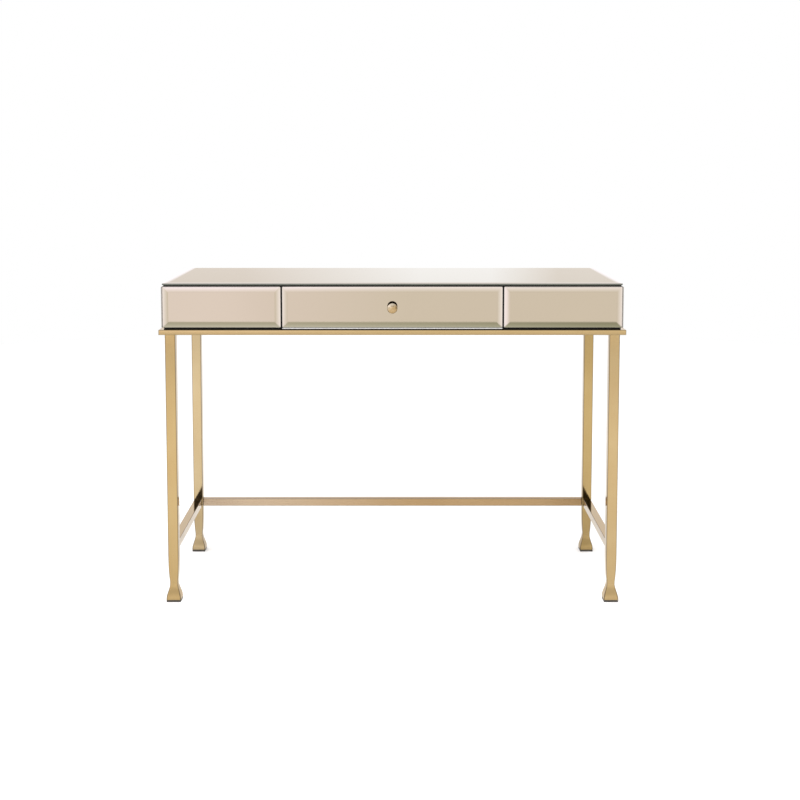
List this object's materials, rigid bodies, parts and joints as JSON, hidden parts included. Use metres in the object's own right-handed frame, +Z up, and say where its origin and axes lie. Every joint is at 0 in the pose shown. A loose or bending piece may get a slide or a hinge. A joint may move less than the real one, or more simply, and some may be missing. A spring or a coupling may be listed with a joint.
{
  "type": "mirrored dressing table",
  "caption": "Mirror-clad dressing table on an open gold metal base, with a centre drawer between fixed bevelled fronts and a round knob.",
  "frame": {"origin": "on the floor, below the middle of the whole table's box, knob included", "axes": "+X to the right as seen from the front, along the length; +Y from the drawer's front to the back; +Z up"},
  "size_m": [1.1, 0.475, 0.77],
  "materials": {
    "frame_metal": "satin-polished warm gold plating",
    "leg_metal": "satin-polished warm gold plating, faint lengthwise brushing",
    "stretcher_metal": "polished warm gold plating",
    "knob_metal": "polished warm gold",
    "top_mirror": "champagne-tinted mirror glass with a polished bevel",
    "panel_mirror": "champagne-tinted mirror glass with a polished bevel",
    "black_board": "fibreboard, matt black paint",
    "drawer_board": "fibreboard, satin black lacquer",
    "runner_steel": "zinc-plated folded steel",
    "screw_steel": "zinc-plated",
    "strip_metal": "bright anodised",
    "pad_rubber": "dark matt rubber"
  },
  "bodies": {
    "table": {"carcass_back": "black_board", "carcass_bottom": "black_board", "carcass_side_left": "black_board", "carcass_side_right": "black_board", "carcass_top": "black_board", "divider_left": "black_board", "divider_right": "black_board", "foot_pad_back_left": "pad_rubber", "foot_pad_back_right": "pad_rubber", "foot_pad_front_left": "pad_rubber", "foot_pad_front_right": "pad_rubber", "frame_rail_back": "frame_metal", "frame_rail_front": "frame_metal", "frame_rail_left": "frame_metal", "frame_rail_right": "frame_metal", "frame_screw_back_left": "screw_steel", "frame_screw_back_right": "screw_steel", "frame_screw_front_left": "screw_steel", "frame_screw_front_right": "screw_steel", "frame_screw_left": "screw_steel", "frame_screw_right": "screw_steel", "front_board_left": "black_board", "front_board_right": "black_board", "glass_back": "panel_mirror", "glass_front_left": "panel_mirror", "glass_front_right": "panel_mirror", "glass_side_left": "panel_mirror", "glass_side_right": "panel_mirror", "glass_top": "top_mirror", "leg_back_left": "leg_metal", "leg_back_right": "leg_metal", "leg_front_left": "leg_metal", "leg_front_right": "leg_metal", "runner_outer_left": "runner_steel", "runner_outer_right": "runner_steel", "runner_screw_outer_back_left": "screw_steel", "runner_screw_outer_back_right": "screw_steel", "runner_screw_outer_front_left": "screw_steel", "runner_screw_outer_front_right": "screw_steel", "stretcher_back": "stretcher_metal", "stretcher_left": "stretcher_metal", "stretcher_right": "stretcher_metal"},
    "drawer": {"drawer_back": "drawer_board", "drawer_bottom": "drawer_board", "drawer_edge_strip": "strip_metal", "drawer_front_board": "black_board", "drawer_glass": "panel_mirror", "drawer_side_left": "drawer_board", "drawer_side_right": "drawer_board", "knob": "knob_metal", "knob_screw": "screw_steel", "runner_inner_left": "runner_steel", "runner_inner_right": "runner_steel", "runner_screw_inner_back_left": "screw_steel", "runner_screw_inner_back_right": "screw_steel", "runner_screw_inner_front_left": "screw_steel", "runner_screw_inner_front_right": "screw_steel"},
    "runner_left": {"runner_middle_left": "runner_steel"},
    "runner_right": {"runner_middle_right": "runner_steel"}
  },
  "joints": [
    {"name": "drawer_slide", "type": "slide", "parent": "table", "child": "drawer", "axis": [0, -1, 0], "range_m": [0, 0.3]},
    {"name": "runner_slide_left", "type": "slide", "parent": "table", "child": "runner_left", "axis": [0, -1, 0], "range_m": [0, 0.15]},
    {"name": "runner_slide_right", "type": "slide", "parent": "table", "child": "runner_right", "axis": [0, -1, 0], "range_m": [0, 0.15]}
  ],
  "couplings": [
    {"joint": "runner_slide_left", "follows": "drawer_slide", "ratio": 0.5},
    {"joint": "runner_slide_right", "follows": "drawer_slide", "ratio": 0.5}
  ]
}
